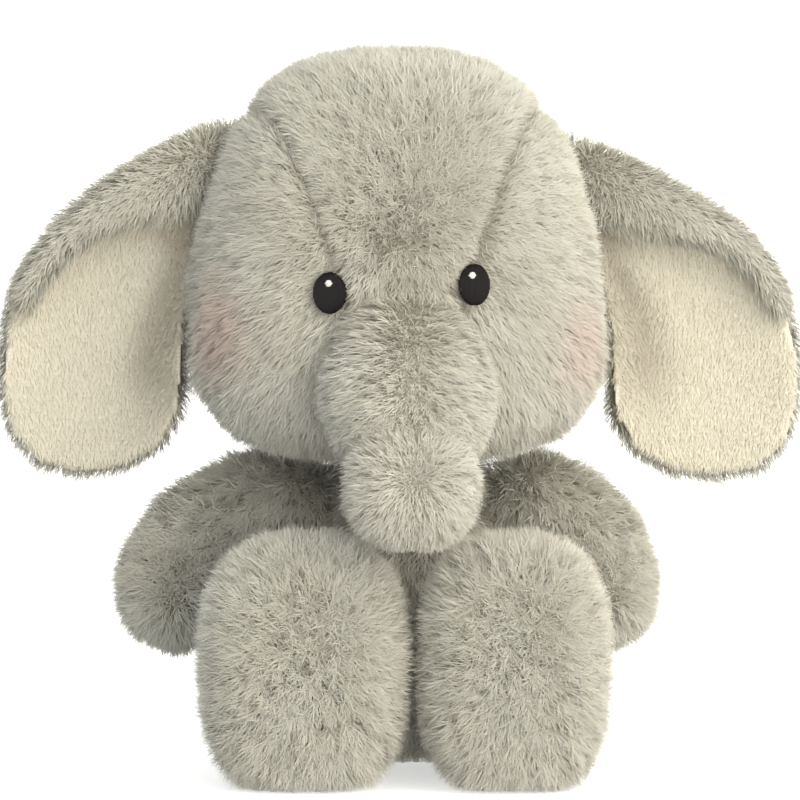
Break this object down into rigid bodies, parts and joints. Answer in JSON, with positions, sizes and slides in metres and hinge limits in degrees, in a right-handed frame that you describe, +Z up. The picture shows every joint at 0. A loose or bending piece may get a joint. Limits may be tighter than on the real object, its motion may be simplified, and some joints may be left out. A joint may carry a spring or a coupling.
{
  "type": "plush elephant",
  "caption": "Seated plush elephant with large drooping lined ears, a short stuffed trunk, embroidered eyes, stubby arms and forward-pointing block feet.",
  "frame": {"origin": "middle of the toy's outline on the surface that it sits on", "axes": "+Z up, the face looks along -Y, +X to the viewer's right of the face"},
  "size_m": [0.2597, 0.1888, 0.234],
  "materials": {
    "plush_fabric": "matte",
    "ear_lining_fabric": "matte",
    "polyester_stuffing": "matte",
    "pellet_bag_cloth": "matte",
    "black_embroidery": "satin",
    "white_embroidery": "satin",
    "label_satin": "satin"
  },
  "bodies": {
    "torso": {"body_front": "plush_fabric", "body_back_left": "plush_fabric", "body_back_right": "plush_fabric", "seat_panel": "plush_fabric", "body_stuffing": "polyester_stuffing", "seat_pellet_bag": "pellet_bag_cloth", "care_label": "label_satin"},
    "neck": {"neck_stuffing": "polyester_stuffing"},
    "head": {"head_centre_gusset": "plush_fabric", "head_side_left": "plush_fabric", "head_side_right": "plush_fabric", "head_stuffing": "polyester_stuffing", "eye_left": "black_embroidery", "eye_right": "black_embroidery", "eye_highlight_left": "white_embroidery", "eye_highlight_right": "white_embroidery"},
    "trunk": {"trunk_panel_left": "plush_fabric", "trunk_panel_right": "plush_fabric", "trunk_stuffing": "polyester_stuffing"},
    "ear_left": {"ear_outer_left": "plush_fabric", "ear_lining_left": "ear_lining_fabric"},
    "ear_right": {"ear_outer_right": "plush_fabric", "ear_lining_right": "ear_lining_fabric"},
    "arm_left": {"arm_front_left": "plush_fabric", "arm_back_left": "plush_fabric", "arm_stuffing_left": "polyester_stuffing"},
    "arm_right": {"arm_front_right": "plush_fabric", "arm_back_right": "plush_fabric", "arm_stuffing_right": "polyester_stuffing"},
    "leg_left": {"leg_outer_left": "plush_fabric", "leg_inner_left": "plush_fabric", "foot_sole_left": "plush_fabric", "leg_stuffing_left": "polyester_stuffing"},
    "leg_right": {"leg_outer_right": "plush_fabric", "leg_inner_right": "plush_fabric", "foot_sole_right": "plush_fabric", "leg_stuffing_right": "polyester_stuffing"},
    "tail": {"tail": "plush_fabric"}
  },
  "joints": [
    {"name": "neck_nod", "type": "hinge", "parent": "torso", "child": "neck", "pos_m": [0.0007, 0.0247, 0.104], "axis": [-1, 0, 0], "range_deg": [-1, 12], "stiffness_Nm_per_rad": 0.8},
    {"name": "head_turn", "type": "hinge", "parent": "neck", "child": "head", "pos_m": [0.0007, 0.0247, 0.104], "axis": [0, 0, 1], "range_deg": [-25, 25], "stiffness_Nm_per_rad": 0.4},
    {"name": "trunk_lift", "type": "hinge", "parent": "head", "child": "trunk", "pos_m": [0.00121, -0.03121, 0.14], "axis": [-0.9981, -0.0611, 0], "range_deg": [-1, 22], "stiffness_Nm_per_rad": 0.12},
    {"name": "ear_left_flap", "type": "hinge", "parent": "head", "child": "ear_left", "pos_m": [-0.06185, 0.01703, 0.19], "axis": [0, 0, 1], "range_deg": [-12, 20], "stiffness_Nm_per_rad": 0.05},
    {"name": "ear_right_flap", "type": "hinge", "parent": "head", "child": "ear_right", "pos_m": [0.05972, 0.02446, 0.19], "axis": [0, 0, -1], "range_deg": [-12, 20], "stiffness_Nm_per_rad": 0.05},
    {"name": "arm_left_swing", "type": "hinge", "parent": "torso", "child": "arm_left", "pos_m": [-0.033, 0.0287, 0.084], "axis": [-1, 0, 0], "range_deg": [-8, 25], "stiffness_Nm_per_rad": 0.1},
    {"name": "arm_right_swing", "type": "hinge", "parent": "torso", "child": "arm_right", "pos_m": [0.04, 0.0287, 0.084], "axis": [-1, 0, 0], "range_deg": [-8, 25], "stiffness_Nm_per_rad": 0.1},
    {"name": "leg_left_splay", "type": "hinge", "parent": "torso", "child": "leg_left", "pos_m": [-0.029, 0.0087, 0.033], "axis": [0, 0, 1], "range_deg": [-10, 2], "stiffness_Nm_per_rad": 0.2},
    {"name": "leg_right_splay", "type": "hinge", "parent": "torso", "child": "leg_right", "pos_m": [0.036, 0.0087, 0.033], "axis": [0, 0, 1], "range_deg": [-2, 10], "stiffness_Nm_per_rad": 0.2},
    {"name": "tail_wag", "type": "hinge", "parent": "torso", "child": "tail", "pos_m": [0.0035, 0.0762, 0.042], "axis": [0, 0, 1], "range_deg": [-25, 25], "stiffness_Nm_per_rad": 0.02}
  ]
}
